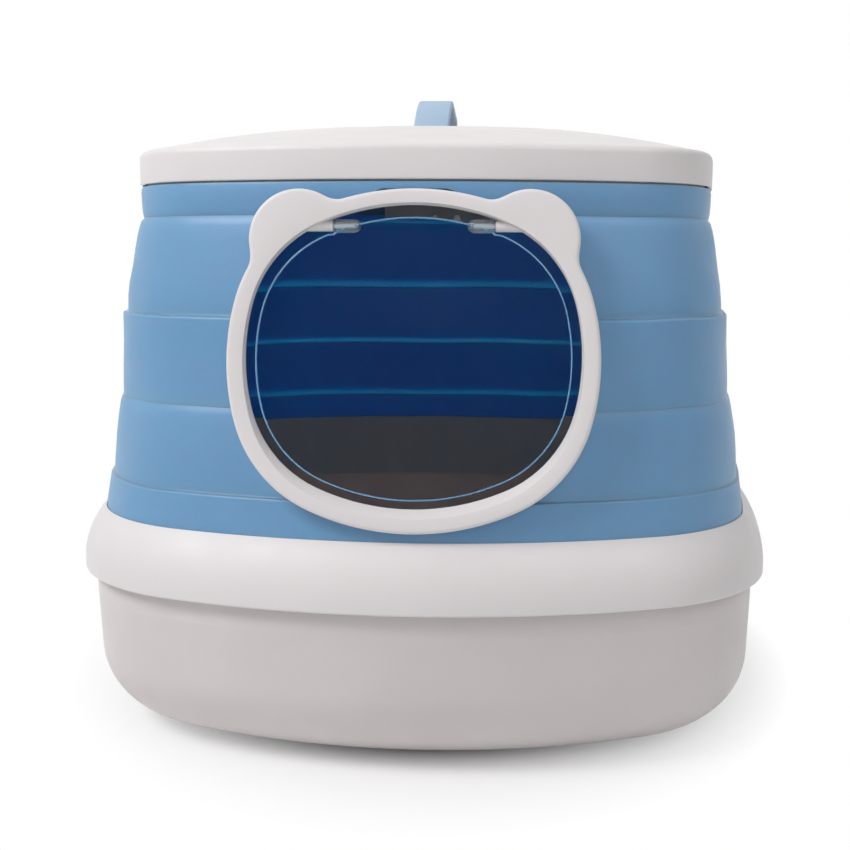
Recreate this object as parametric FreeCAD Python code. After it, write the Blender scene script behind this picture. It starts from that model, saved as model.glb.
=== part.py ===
import FreeCAD, Part
import math
import os

from FreeCAD import Placement, Rotation, Vector

# Foldable litter box: a deep pan, a lift-off hood with a folding wall, a hinged lid and a flap door.
# Millimetres, +Z up, the door faces -Y, origin on the floor under the middle of the pan.

# Plan outline of the base collar: eight tangent arcs. Every ring is a parallel offset of it.
HALF_WIDTH = 200.0
HALF_DEPTH = 250.0
END_RADIUS = 347.0
SIDE_RADIUS = 744.0
CORNER_RADIUS = 99.0

# Litter pan: its ends lean in more than its sides, and its base is rounded all round
PAN_HEIGHT = 97.0
PAN_WALL = 2.5
PAN_TOP_OFFSET = -6.0
PAN_SIDE_TAPER = 2.0
PAN_SIDE_ROUND = 43.0
PAN_END_TAPER = 16.0
PAN_END_ROUND = 46.0
PAN_LIP_REACH = 2.4
PAN_LIP_HEIGHT = 19.0
PAN_ROUND_STEPS = 8

# Base collar that rests on the pan's rim
COLLAR_WALL = 3.0
COLLAR_HEIGHT = 36.0
COLLAR_OVERLAP = 11.0
COLLAR_ROLL = 38.0
COLLAR_EDGE_ROUND = 1.2
COLLAR_WEB = 2.5

# Folding wall of soft plastic: offsets of its outer face from the plan outline, and crease heights
WALL = 2.2
WALL_FOOT_OFFSET = -11.9
BOTTOM_BAND_OFFSET = -14.9
LOWER_FOLD_FOOT_OFFSET = -16.6
MIDDLE_BAND_LOW_OFFSET = -22.6
MIDDLE_BAND_HIGH_OFFSET = -24.2
UPPER_FOLD_FOOT_OFFSET = -27.0
TOP_BAND_OFFSET = -34.9
BOTTOM_BAND_TOP = 140.0
MIDDLE_BAND_BOTTOM = 182.0
MIDDLE_BAND_TOP = 226.0
TOP_BAND_BOTTOM = 275.0
LEDGE_HEIGHT = 3.5
FOLD_BELLY = 0.8
LID_SEAT = 0.9

# Rings that hold the two ends of the wall
RING_WALL = 2.4
RING_CLEARANCE = 0.2
CLAMP_SKIRT_DEPTH = 20.5
CLAMP_LEG_HEIGHT = 25.0
TOP_RING_HEIGHT = 12.4
LID_CLEARANCE = 1.4

# Lid
LID_WALL = 2.2
LID_OFFSET = -34.3
LID_BOTTOM = 291.6
LID_SKIRT = 16.8
LID_EDGE_ROUND = 4.0
LID_SHOULDER = 7.0
LID_SHOULDER_RISE = 1.2
LID_CROWN = 24.0
LID_RIB = 2.2
CROWN_STEPS = 7

# Carry handle, a soft strap that passes through the lid
HANDLE_LENGTH = 152.0
HANDLE_WIDTH = 20.5
HANDLE_THICKNESS = 4.0
HANDLE_RISE = 14.7
HANDLE_BEND = 32.0
HANDLE_LEAN = 18.0
HANDLE_EDGE_ROUND = 1.3
TOGGLE_WIDTH = 32.0
TOGGLE_LENGTH = 10.0
TOGGLE_HEIGHT = 4.5
RETAINER_WIDTH = 38.0
RETAINER_LENGTH = 18.0
RETAINER_THICKNESS = 3.0
RETAINER_GAP = 0.60404
SLOT_CLEARANCE = 0.3

# Lid hinge at the rear
HINGE_PIN_RADIUS = 1.25
HINGE_KNUCKLE_RADIUS = 2.8
HINGE_RUNNING_GAP = 0.05
HINGE_STAND_OFF = 0.3
HINGE_DROP = 3.1
LEAF_HALF_WIDTH = 15.0
LEAF_HEIGHT = 9.7
LEAF_THICKNESS = 1.7
KNUCKLE_GAP = 0.4
LID_KNUCKLE_LENGTH = 14.0
LUG_HEIGHT = 4.4
LUG_THICKNESS = 2.2
BRACKET_HALF_WIDTH = 50.0
BRACKET_HEIGHT = 15.5
BRACKET_THICKNESS = 2.5
SCREW_RADIUS = 1.5
SCREW_HEAD_RADIUS = 3.0
SCREW_HEAD_HEIGHT = 1.6
SCREW_SPACING = 18.0
SCREW_CLEARANCE = 0.1

# Door frame: measured in the leaning plane of its front face, s upwards from the plane's foot
DOOR_LEAN = 7.595
DOOR_FOOT_Z = 124.3
DOOR_STAND_OFF = 5.0
FRAME_HALF_WIDTH = 86.7
FRAME_HALF_HEIGHT = 80.2
FRAME_CENTRE = 84.2
FRAME_END_RADIUS = 118.0
FRAME_SIDE_RADIUS = 110.0
FRAME_CORNER_RADIUS = 62.0
FRAME_FACE = 5.0
FRAME_SKIRT = 2.4
FRAME_EDGE_BEVEL = 1.5
FRAME_SEAT_GAP = 0.3
EAR_RADIUS = 22.8
EAR_X = 54.3
EAR_S = 139.9
EAR_BLEND = 14.0
HOLE_HALF_WIDTH = 79.0
HOLE_HALF_HEIGHT = 71.4
HOLE_CENTRE = 85.7
HOLE_END_RADIUS = 110.0
HOLE_SIDE_RADIUS = 102.0
HOLE_CORNER_RADIUS = 56.0
BEVEL_DEPTH = 4.0
BEVEL_SIDE = 1.2
BEVEL_FOOT = 4.0
BEVEL_TOP = 0.8
SLEEVE_SET = 3.4
SLEEVE_WALL = 2.4
SLEEVE_PROUD = 1.5
SLEEVE_CLEARANCE = 0.4
NOTCH_HALF_WIDTH = 15.0
NOTCH_SLOPE = 3.0
NOTCH_SHOW = 0.8

# Clear flap that hangs in the frame
FLAP_HALF_WIDTH = 74.7
FLAP_HALF_HEIGHT = 66.9
FLAP_CENTRE = 84.8
FLAP_END_RADIUS = 105.0
FLAP_SIDE_RADIUS = 98.0
FLAP_CORNER_RADIUS = 52.0
FLAP_THICKNESS = 2.4
FLAP_EDGE_BEVEL = 0.5
FLAP_SET_BACK = 5.0
FLAP_AXIS_S = 147.2
FLAP_KNUCKLE_RADIUS = 3.2
FLAP_KNUCKLE_INNER = 25.0
FLAP_KNUCKLE_LENGTH = 12.5
FLAP_PIN_RADIUS = 1.25
FLAP_PIN_GRIP = 6.0
FLAP_PIN_END_GAP = 1.5
PEG_RADIUS = 2.6
PEG_LENGTH = 15.0
PEG_GAP = 0.5
SHOULDER_GAP = 1.0

# Heights and offsets that follow from the sizes above
COLLAR_BOTTOM = PAN_HEIGHT - COLLAR_OVERLAP
COLLAR_TOP = COLLAR_BOTTOM + COLLAR_HEIGHT
WALL_FOOT_Z = PAN_HEIGHT + RING_WALL + 2 * RING_CLEARANCE
TOP_BAND_NECK_OFFSET = LID_OFFSET - LID_WALL - LID_CLEARANCE - RING_WALL - RING_CLEARANCE
TOP_BAND_SHOULDER = LID_BOTTOM - LID_SEAT
TOP_RING_TOP = TOP_BAND_SHOULDER + RING_CLEARANCE + TOP_RING_HEIGHT
LID_CORNER = LID_BOTTOM + LID_SKIRT
DOME_OFFSET = LID_OFFSET - LID_SHOULDER
DOME_FOOT = LID_CORNER + LID_SHOULDER_RISE
LID_TOP = DOME_FOOT + LID_CROWN
HANDLE_TOP = LID_TOP + HANDLE_RISE
RETAINER_REACH = (HANDLE_LENGTH - HANDLE_THICKNESS + RETAINER_LENGTH) / 2
DOME_DROP = LID_CROWN * (RETAINER_REACH / (HALF_DEPTH + DOME_OFFSET)) ** 2
HANDLE_TAIL = DOME_DROP + LID_WALL + RETAINER_GAP + RETAINER_THICKNESS + RING_CLEARANCE
HINGE_Z = LID_BOTTOM - HINGE_DROP
HINGE_Y = HALF_DEPTH + TOP_BAND_OFFSET + HINGE_STAND_OFF + HINGE_KNUCKLE_RADIUS
CORE_OFFSET = CORNER_RADIUS / 10 - CORNER_RADIUS
BLANK_DEPTH = -CORE_OFFSET / 2
DOOR_FOOT_Y = -(HALF_DEPTH + WALL_FOOT_OFFSET + DOOR_STAND_OFF)

UP = Vector(0, 0, 1)
ACROSS = Vector(1, 0, 0)
REARWARD = Vector(0, 1, 0)
DOOR_PLANE = Placement(Vector(0, DOOR_FOOT_Y, DOOR_FOOT_Z), Rotation(ACROSS, 90 - DOOR_LEAN))


def oval_arcs(half_width, half_height, end_radius, side_radius, corner_radius):
    """Centre, radius and angles of the eight tangent arcs of an oval, anticlockwise from its foot."""
    end_y = end_radius - half_height
    side_x = half_width - side_radius
    end_reach = end_radius - corner_radius
    side_reach = side_radius - corner_radius
    spread = math.hypot(side_x, end_y)
    along = (end_reach ** 2 - side_reach ** 2 + spread ** 2) / (2 * spread)
    aside = math.sqrt(end_reach ** 2 - along ** 2)
    way = Vector(side_x, -end_y, 0) / spread
    corner = Vector(0, end_y, 0) + way * along - Vector(way.y, -way.x, 0) * aside
    end_turn = math.atan2(corner.y - end_y, corner.x)
    side_turn = math.atan2(corner.y, corner.x - side_x)
    half = math.pi
    return [
        (0, end_y, end_radius, -half - end_turn, end_turn),
        (corner.x, corner.y, corner_radius, end_turn, side_turn),
        (side_x, 0, side_radius, side_turn, -side_turn),
        (corner.x, -corner.y, corner_radius, -side_turn, -end_turn),
        (0, -end_y, end_radius, -end_turn, half + end_turn),
        (-corner.x, -corner.y, corner_radius, half + end_turn, half + side_turn),
        (-side_x, 0, side_radius, half + side_turn, half - side_turn),
        (-corner.x, corner.y, corner_radius, half - side_turn, half - end_turn),
    ]


def outline(arcs, offset, z, scale=1.0):
    """Closed wire parallel to an oval at a height, shrunk towards the middle by a scale."""
    edges = []
    for x, y, radius, start, end in arcs:
        circle = Part.Circle(Vector(x * scale, y * scale, z), UP, (radius + offset) * scale)
        edges.append(Part.ArcOfCircle(circle, start, end).toShape())
    return Part.Wire(edges)


def slab(arcs, offset, low, high):
    """Solid oval plate between two heights."""
    return Part.Face(outline(arcs, offset, low)).extrude(UP * (high - low))


def rounded_wire(corners, place):
    """Closed wire through corners (a, b) or (a, b, radius), set in space by the function place."""
    flat = [Vector(corner[0], corner[1], 0) for corner in corners]
    radii = [corner[2] if len(corner) > 2 else 0.0 for corner in corners]
    edges = []
    ends = []
    for index, point in enumerate(flat):
        radius = radii[index]
        if not radius:
            ends.append((point, point, None))
            continue
        before = (flat[index - 1] - point).normalize()
        after = (flat[(index + 1) % len(flat)] - point).normalize()
        half_angle = before.getAngle(after) / 2
        reach = radius / math.tan(half_angle)
        middle = (before + after).normalize() * (radius / math.sin(half_angle) - radius)
        ends.append((point + before * reach, point + after * reach, point + middle))
    for index, (start, end, middle) in enumerate(ends):
        if middle is not None:
            edges.append(Part.Arc(place(start), place(middle), place(end)).toShape())
        follow = ends[(index + 1) % len(ends)][0]
        if end.distanceToPoint(follow) > 1e-6:
            edges.append(Part.LineSegment(place(end), place(follow)).toShape())
    return Part.Wire(edges)


def ring(corners):
    """Closed ring: a section (offset, height) carried round the plan outline, arc by arc."""
    pieces = []
    for x, y, radius, start, end in PLAN:

        def place(point):
            reach = radius + point.x
            return Vector(x + reach * math.cos(start), y + reach * math.sin(start), point.y)

        section = Part.Face(rounded_wire(corners, place))
        pieces.append(section.revolve(Vector(x, y, 0), UP, math.degrees(end - start)))
    return pieces[0].multiFuse(pieces[1:]).removeSplitter()


def box(low, high):
    """Box between two opposite corners."""
    size = high - low
    return Part.makeBox(size.x, size.y, size.z, low)


def in_door_plane(shape):
    """Place a shape drawn flat, with y as s and z as depth, in the door's leaning plane."""
    placed = shape.copy()
    placed.Placement = DOOR_PLANE.multiply(shape.Placement)
    return placed


def door_slab(arcs, centre, offset, back, front):
    """Solid oval plate in the door's plane between two depths, still drawn flat."""
    return slab(arcs, offset, back, front).translated(Vector(0, centre, 0))


def rod(radius, start, end, y, z):
    """Round bar along X."""
    return Part.makeCylinder(radius, abs(end - start), Vector(min(start, end), y, z), ACROSS)


PLAN = oval_arcs(HALF_WIDTH, HALF_DEPTH, END_RADIUS, SIDE_RADIUS, CORNER_RADIUS)
FRAME = oval_arcs(FRAME_HALF_WIDTH, FRAME_HALF_HEIGHT, FRAME_END_RADIUS,
                  FRAME_SIDE_RADIUS, FRAME_CORNER_RADIUS)
HOLE = oval_arcs(HOLE_HALF_WIDTH, HOLE_HALF_HEIGHT, HOLE_END_RADIUS,
                 HOLE_SIDE_RADIUS, HOLE_CORNER_RADIUS)
FLAP = oval_arcs(FLAP_HALF_WIDTH, FLAP_HALF_HEIGHT, FLAP_END_RADIUS,
                 FLAP_SIDE_RADIUS, FLAP_CORNER_RADIUS)

# Outer face of the folding wall from foot to lid, as (offset, height)
BOTTOM_BAND_FACE = [
    (WALL_FOOT_OFFSET, WALL_FOOT_Z),
    (WALL_FOOT_OFFSET, COLLAR_TOP),
    (BOTTOM_BAND_OFFSET, BOTTOM_BAND_TOP),
]
LOWER_FOLD_FACE = [
    (BOTTOM_BAND_OFFSET, BOTTOM_BAND_TOP),
    (LOWER_FOLD_FOOT_OFFSET, BOTTOM_BAND_TOP + LEDGE_HEIGHT),
    (MIDDLE_BAND_LOW_OFFSET + 2 * FOLD_BELLY, MIDDLE_BAND_BOTTOM - LEDGE_HEIGHT),
    (MIDDLE_BAND_LOW_OFFSET, MIDDLE_BAND_BOTTOM),
]
MIDDLE_BAND_FACE = [
    (MIDDLE_BAND_LOW_OFFSET, MIDDLE_BAND_BOTTOM),
    (MIDDLE_BAND_HIGH_OFFSET, MIDDLE_BAND_TOP),
]
UPPER_FOLD_FACE = [
    (MIDDLE_BAND_HIGH_OFFSET, MIDDLE_BAND_TOP),
    (UPPER_FOLD_FOOT_OFFSET, MIDDLE_BAND_TOP + LEDGE_HEIGHT),
    (TOP_BAND_OFFSET + 2 * FOLD_BELLY, TOP_BAND_BOTTOM - LEDGE_HEIGHT),
    (TOP_BAND_OFFSET, TOP_BAND_BOTTOM),
]
TOP_BAND_FACE = [
    (TOP_BAND_OFFSET, TOP_BAND_BOTTOM),
    (TOP_BAND_OFFSET, TOP_BAND_SHOULDER),
]


def lean_in(height, taper, base_round):
    """How far the pan's face stands in from its top, at a height above its base."""
    lip_foot = PAN_HEIGHT - PAN_LIP_HEIGHT
    inset = taper * max(0, 1 - height / lip_foot)
    if height < base_round:
        inset += base_round - math.sqrt(base_round ** 2 - (base_round - height) ** 2)
    return inset


def pan_outline(z, inset):
    """Outline of the pan at a height: of its outer face, or of its hollow when inset by the wall."""
    side = inset + lean_in(z - inset, PAN_SIDE_TAPER, PAN_SIDE_ROUND - inset) - PAN_TOP_OFFSET
    end = inset + lean_in(z - inset, PAN_END_TAPER, PAN_END_ROUND - inset) - PAN_TOP_OFFSET
    arcs = oval_arcs(HALF_WIDTH - side, HALF_DEPTH - end, END_RADIUS - end,
                     SIDE_RADIUS - side, CORNER_RADIUS - (side + end) / 2)
    return outline(arcs, 0, z)


def pan_hull(inset):
    """Solid inside the pan's face, or its hollow when inset by the wall: narrow bands up the rounded base."""
    base_round = PAN_END_ROUND - inset
    turns = [math.pi / 2 * step / PAN_ROUND_STEPS for step in range(PAN_ROUND_STEPS + 1)]
    heights = [inset + base_round * (1 - math.cos(turn)) for turn in turns]
    heights += [PAN_HEIGHT - PAN_LIP_HEIGHT + inset, PAN_HEIGHT]
    return Part.makeLoft([pan_outline(height, inset) for height in heights], True, True)


def litter_pan():
    lip_foot = PAN_HEIGHT - PAN_LIP_HEIGHT
    lip_offset = PAN_TOP_OFFSET + PAN_LIP_REACH
    inside = PAN_TOP_OFFSET - PAN_WALL / 2
    lip = ring([
        (inside, lip_foot - PAN_WALL / 2),
        (lip_offset, lip_foot + PAN_LIP_REACH),
        (lip_offset, PAN_HEIGHT),
        (inside, PAN_HEIGHT),
    ])
    return pan_hull(0).cut(pan_hull(PAN_WALL)).fuse(lip).removeSplitter()


def base_collar():
    foot = WALL_FOOT_OFFSET + RING_CLEARANCE
    shoulder = COLLAR_TOP + foot
    web = foot + COLLAR_WEB
    inner_shoulder = shoulder - COLLAR_WALL * (math.sqrt(2) - 1)
    return ring([
        (foot, COLLAR_TOP),
        (0, shoulder, COLLAR_ROLL),
        (0, COLLAR_BOTTOM, COLLAR_EDGE_ROUND),
        (-COLLAR_WALL, COLLAR_BOTTOM),
        (-COLLAR_WALL, inner_shoulder),
        (web, inner_shoulder - COLLAR_WALL - web),
        (web, PAN_HEIGHT + COLLAR_WEB),
        (PAN_TOP_OFFSET, PAN_HEIGHT + COLLAR_WEB),
        (PAN_TOP_OFFSET, PAN_HEIGHT),
        (foot, PAN_HEIGHT),
    ])


def wall_clamp_ring():
    leg = WALL_FOOT_OFFSET - WALL - RING_CLEARANCE
    flange_low = PAN_HEIGHT + RING_CLEARANCE
    flange_high = flange_low + RING_WALL
    return ring([
        (leg, PAN_HEIGHT - CLAMP_SKIRT_DEPTH),
        (leg, flange_low),
        (WALL_FOOT_OFFSET, flange_low),
        (WALL_FOOT_OFFSET, flange_high),
        (leg, flange_high),
        (leg, PAN_HEIGHT + CLAMP_LEG_HEIGHT),
        (leg - RING_WALL, PAN_HEIGHT + CLAMP_LEG_HEIGHT),
        (leg - RING_WALL, PAN_HEIGHT - CLAMP_SKIRT_DEPTH),
    ])


def wall_band(face):
    """One band of the folding wall, cut out where the door's sleeve passes through it."""
    inner = [(offset - WALL, height) for offset, height in reversed(face)]
    return ring(face + inner).cut(wall_cutter())


def wall_cutter():
    """Space of the door's sleeve and of the finger notch above the frame, right through the wall."""
    through = BLANK_DEPTH
    hole = door_slab(HOLE, HOLE_CENTRE, SLEEVE_SET + SLEEVE_WALL + SLEEVE_CLEARANCE, -through, through)
    frame_top = FRAME_CENTRE + FRAME_HALF_HEIGHT
    corners = [
        (-NOTCH_HALF_WIDTH - NOTCH_SLOPE, HOLE_CENTRE),
        (NOTCH_HALF_WIDTH + NOTCH_SLOPE, HOLE_CENTRE),
        (NOTCH_HALF_WIDTH + NOTCH_SLOPE, frame_top),
        (NOTCH_HALF_WIDTH, frame_top + NOTCH_SHOW),
        (-NOTCH_HALF_WIDTH, frame_top + NOTCH_SHOW),
        (-NOTCH_HALF_WIDTH - NOTCH_SLOPE, frame_top),
    ]
    section = Part.Face(rounded_wire(corners, lambda point: Vector(point.x, point.y, -through)))
    return in_door_plane(hole.fuse(section.extrude(UP * 2 * through)))


def top_band():
    neck = TOP_BAND_NECK_OFFSET
    shoulder_inside = TOP_BAND_SHOULDER - WALL
    band = ring(TOP_BAND_FACE + [
        (neck, TOP_BAND_SHOULDER),
        (neck, TOP_RING_TOP - RING_WALL),
        (neck - WALL, TOP_RING_TOP - RING_WALL),
        (neck - WALL, shoulder_inside),
        (TOP_BAND_OFFSET - WALL, shoulder_inside),
        (TOP_BAND_OFFSET - WALL, TOP_BAND_BOTTOM),
    ])
    return band.cut(wall_cutter()).cut(hinge_screws(SCREW_CLEARANCE))


def top_ring():
    neck = TOP_BAND_NECK_OFFSET
    outer = neck + RING_CLEARANCE + RING_WALL
    return ring([
        (outer, TOP_BAND_SHOULDER + RING_CLEARANCE),
        (outer, TOP_RING_TOP),
        (neck - WALL, TOP_RING_TOP),
        (neck - WALL, TOP_RING_TOP - RING_WALL + RING_CLEARANCE),
        (neck + RING_CLEARANCE, TOP_RING_TOP - RING_WALL + RING_CLEARANCE),
        (neck + RING_CLEARANCE, TOP_BAND_SHOULDER + RING_CLEARANCE),
    ])


def lid():
    slope = LID_SHOULDER_RISE / LID_SHOULDER
    inner = LID_OFFSET - LID_WALL
    rim = ring([
        (LID_OFFSET, LID_BOTTOM),
        (LID_OFFSET, LID_CORNER, LID_EDGE_ROUND),
        (DOME_OFFSET, DOME_FOOT),
        (DOME_OFFSET, DOME_FOOT - LID_WALL),
        (inner, LID_CORNER - LID_WALL + LID_WALL * slope, LID_EDGE_ROUND - LID_WALL),
        (inner, LID_BOTTOM),
    ])
    rib_outer = TOP_BAND_NECK_OFFSET + RING_CLEARANCE + RING_WALL
    rib = ring([
        (rib_outer, TOP_RING_TOP),
        (rib_outer, LID_CORNER - LID_WALL / 2),
        (rib_outer - LID_RIB, LID_CORNER - LID_WALL / 2),
        (rib_outer - LID_RIB, TOP_RING_TOP),
    ])
    scales = [step / CROWN_STEPS for step in range(CROWN_STEPS, 0, -1)]
    sections = [outline(PLAN, DOME_OFFSET, DOME_FOOT + LID_CROWN * (1 - scale ** 2), scale) for scale in scales]
    crown = Part.makeLoft(sections, True, True)
    hollow = crown.translated(UP * -LID_WALL)
    dome = crown.fuse(slab(PLAN, DOME_OFFSET, DOME_FOOT - LID_WALL, DOME_FOOT)).cut(hollow)
    shell = rim.multiFuse([dome, rib] + lid_knuckles()).removeSplitter()
    return shell.cut(strap(SLOT_CLEARANCE))


def lid_knuckles():
    """Two hinge knuckles under the rear edge of the lid, each on a lug that grows from the skirt."""
    pieces = []
    inside = HALF_DEPTH + LID_OFFSET - LID_WALL
    for side in (-1, 1):
        near = side * (LEAF_HALF_WIDTH + KNUCKLE_GAP)
        far = near + side * LID_KNUCKLE_LENGTH
        low_x, high_x = min(near, far), max(near, far)
        root = box(Vector(low_x, inside, LID_BOTTOM + KNUCKLE_GAP),
                   Vector(high_x, HINGE_Y - LUG_THICKNESS / 2, LID_BOTTOM + LUG_HEIGHT))
        lug = box(Vector(low_x, HINGE_Y - LUG_THICKNESS, HINGE_Z),
                  Vector(high_x, HINGE_Y, LID_BOTTOM + LUG_HEIGHT / 2))
        knuckle = rod(HINGE_KNUCKLE_RADIUS, near, far, HINGE_Y, HINGE_Z)
        pin_hole = rod(HINGE_PIN_RADIUS + HINGE_RUNNING_GAP, 0, far, HINGE_Y, HINGE_Z)
        pieces.append(knuckle.multiFuse([root, lug]).cut(pin_hole))
    return pieces


def strap(clearance):
    """Arched strap of the handle, grown by a clearance for the slots that it passes through."""
    half = HANDLE_LENGTH / 2
    foot = LID_TOP - HANDLE_TAIL
    lean = math.tan(math.radians(HANDLE_LEAN)) * (HANDLE_TOP - foot)
    thick = HANDLE_THICKNESS / math.cos(math.radians(HANDLE_LEAN))
    outer = half + clearance
    inner = half - thick - clearance
    inner_top = HANDLE_TOP - HANDLE_THICKNESS - clearance
    inner_lean = lean * (inner_top - foot) / (HANDLE_TOP - foot)
    corners = [
        (-outer, foot),
        (-outer + lean, HANDLE_TOP + clearance, HANDLE_BEND),
        (outer - lean, HANDLE_TOP + clearance, HANDLE_BEND),
        (outer, foot),
        (inner, foot),
        (inner - inner_lean, inner_top, HANDLE_BEND - HANDLE_THICKNESS),
        (inner_lean - inner, inner_top, HANDLE_BEND - HANDLE_THICKNESS),
        (-inner, foot),
    ]
    width = HANDLE_WIDTH + 2 * clearance
    section = Part.Face(rounded_wire(corners, lambda point: Vector(-width / 2, point.x, point.y)))
    return section.extrude(ACROSS * width)


def carry_handle():
    body = strap(0)
    long_edges = [edge for edge in body.Edges if edge.BoundBox.XLength < 1e-6]
    body = body.makeFillet(HANDLE_EDGE_ROUND, [edge for edge in long_edges if edge.BoundBox.YLength
                                               > HANDLE_THICKNESS + 2 * HANDLE_EDGE_ROUND])
    return body.multiFuse([toggle(side) for side in (-1, 1)])


def tail_centre(side):
    """Middle of the strap's cut end at one side of the handle."""
    return side * (HANDLE_LENGTH - HANDLE_THICKNESS) / 2


def toggle(side):
    """Cross bar on the strap's end that keeps it from pulling out of the lid."""
    centre = Vector(0, tail_centre(side), LID_TOP - HANDLE_TAIL)
    reach = Vector(TOGGLE_WIDTH / 2, TOGGLE_LENGTH / 2, 0)
    return box(centre - reach - UP * TOGGLE_HEIGHT, centre + reach)


def handle_retainers():
    plates = []
    for side in (-1, 1):
        centre = Vector(0, tail_centre(side), LID_TOP - HANDLE_TAIL + RING_CLEARANCE)
        reach = Vector(RETAINER_WIDTH / 2, RETAINER_LENGTH / 2, 0)
        plate = box(centre - reach, centre + reach + UP * RETAINER_THICKNESS)
        plates.append(plate.cut(strap(SLOT_CLEARANCE)))
    return Part.makeCompound(plates)


def rear_sector(corners, half_width):
    """Part of a ring at the rear, within a half width of the middle."""
    low = Vector(-half_width, 0, 0)
    high = Vector(half_width, 2 * HALF_DEPTH, 2 * HANDLE_TOP)
    return ring(corners).common(box(low, high))


def lid_hinge_leaf():
    foot = TOP_BAND_OFFSET + HINGE_STAND_OFF
    low = TOP_BAND_SHOULDER - LEAF_HEIGHT
    high = TOP_BAND_SHOULDER - HINGE_STAND_OFF
    leaf = rear_sector([
        (foot, low),
        (foot + LEAF_THICKNESS, low),
        (foot + LEAF_THICKNESS, high),
        (foot, high),
    ], LEAF_HALF_WIDTH)
    knuckle = rod(HINGE_KNUCKLE_RADIUS, -LEAF_HALF_WIDTH, LEAF_HALF_WIDTH, HINGE_Y, HINGE_Z)
    bore = rod(HINGE_PIN_RADIUS + HINGE_RUNNING_GAP, -LEAF_HALF_WIDTH, LEAF_HALF_WIDTH, HINGE_Y, HINGE_Z)
    return leaf.fuse(knuckle).cut(bore).cut(hinge_screws(0))


def lid_hinge_bracket():
    """Backing plate inside the wall's top, as wide as the stretch of wall that carries the lid."""
    neck = TOP_BAND_NECK_OFFSET - WALL - HINGE_STAND_OFF
    under_wall = TOP_BAND_OFFSET - WALL - HINGE_STAND_OFF
    step = TOP_BAND_SHOULDER - WALL - HINGE_STAND_OFF
    low = TOP_BAND_SHOULDER - LEAF_HEIGHT
    plate = rear_sector([
        (under_wall, low),
        (under_wall, step),
        (neck, step),
        (neck, low + BRACKET_HEIGHT),
        (neck - BRACKET_THICKNESS, low + BRACKET_HEIGHT),
        (neck - BRACKET_THICKNESS, low),
    ], BRACKET_HALF_WIDTH)
    return plate.cut(hinge_screws(0))


def lid_hinge_pin():
    reach = LEAF_HALF_WIDTH + KNUCKLE_GAP + LID_KNUCKLE_LENGTH
    return rod(HINGE_PIN_RADIUS, -reach, reach, HINGE_Y, HINGE_Z)


def hinge_screws(clearance):
    """Two screws from the backing plate through the wall into the hinge leaf."""
    screws = []
    height = TOP_BAND_SHOULDER - LEAF_HEIGHT / 2
    plate_face = HALF_DEPTH + TOP_BAND_NECK_OFFSET - WALL - HINGE_STAND_OFF - BRACKET_THICKNESS
    tip = HALF_DEPTH + TOP_BAND_OFFSET + HINGE_STAND_OFF + LEAF_THICKNESS / 2
    for side in (-1, 1):
        seat = Vector(side * SCREW_SPACING / 2, plate_face, height)
        shank = Part.makeCylinder(SCREW_RADIUS + clearance, tip - plate_face, seat, REARWARD)
        head_seat = seat - REARWARD * SCREW_HEAD_HEIGHT
        head = Part.makeCylinder(SCREW_HEAD_RADIUS + clearance, SCREW_HEAD_HEIGHT, head_seat, REARWARD)
        screws.append(shank.fuse(head))
    return Part.makeCompound(screws)


def frame_outline(inset, back, front):
    """Frame's outer form with its two ears, drawn flat, shrunk by an inset."""
    body = door_slab(FRAME, FRAME_CENTRE, -inset, back, front)
    ears = [Part.makeCylinder(EAR_RADIUS - inset, front - back, Vector(side * EAR_X, EAR_S, back))
            for side in (-1, 1)]
    return body.multiFuse(ears).removeSplitter()


def within_wall(gap):
    """Space from a gap outside the wall's outer face, less than nought for inside it, to the core."""
    face = BOTTOM_BAND_FACE + LOWER_FOLD_FACE[1:] + MIDDLE_BAND_FACE[1:]
    face = face + UPPER_FOLD_FACE[1:] + TOP_BAND_FACE[1:]
    grown = [(offset + gap, height) for offset, height in face]
    return ring(grown + [(CORE_OFFSET, TOP_BAND_SHOULDER), (CORE_OFFSET, WALL_FOOT_Z)])


def door_frame():
    blank = frame_outline(0, -BLANK_DEPTH, 0)
    notch_edges = [edge for edge in blank.Edges if is_ear_notch(edge)]
    blank = blank.makeFillet(EAR_BLEND, notch_edges)
    front_edges = [edge for edge in blank.Edges if edge.BoundBox.ZMin > -1e-6]
    blank = blank.makeChamfer(FRAME_EDGE_BEVEL, front_edges)
    channel = frame_outline(FRAME_SKIRT, -BLANK_DEPTH, -FRAME_FACE)
    skirted = in_door_plane(blank.cut(channel)).cut(within_wall(FRAME_SEAT_GAP))
    sleeve = door_slab(HOLE, HOLE_CENTRE, SLEEVE_SET + SLEEVE_WALL, -BLANK_DEPTH, -FRAME_FACE / 2)
    sleeve = sleeve.cut(door_slab(HOLE, HOLE_CENTRE, SLEEVE_SET, -BLANK_DEPTH, 0))
    whole = skirted.fuse(in_door_plane(sleeve).cut(within_wall(-WALL - SLEEVE_PROUD)))
    for cutter in (door_slab(HOLE, HOLE_CENTRE, 0, -BLANK_DEPTH, 0), front_bevel()):
        whole = whole.cut(in_door_plane(cutter))
    for side in (-1, 1):
        peg = flap_rod(PEG_RADIUS, side * peg_start(), side * (peg_start() + PEG_LENGTH))
        whole = whole.fuse(in_door_plane(peg))
    return largest(whole.cut(flap_hinge_pins()))


def is_ear_notch(edge):
    """True for the straight edges across the frame's thickness where an ear meets the oval."""
    spans = edge.BoundBox
    return spans.ZLength > FRAME_FACE and spans.XLength < 1e-6 and spans.YLength < 1e-6


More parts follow.
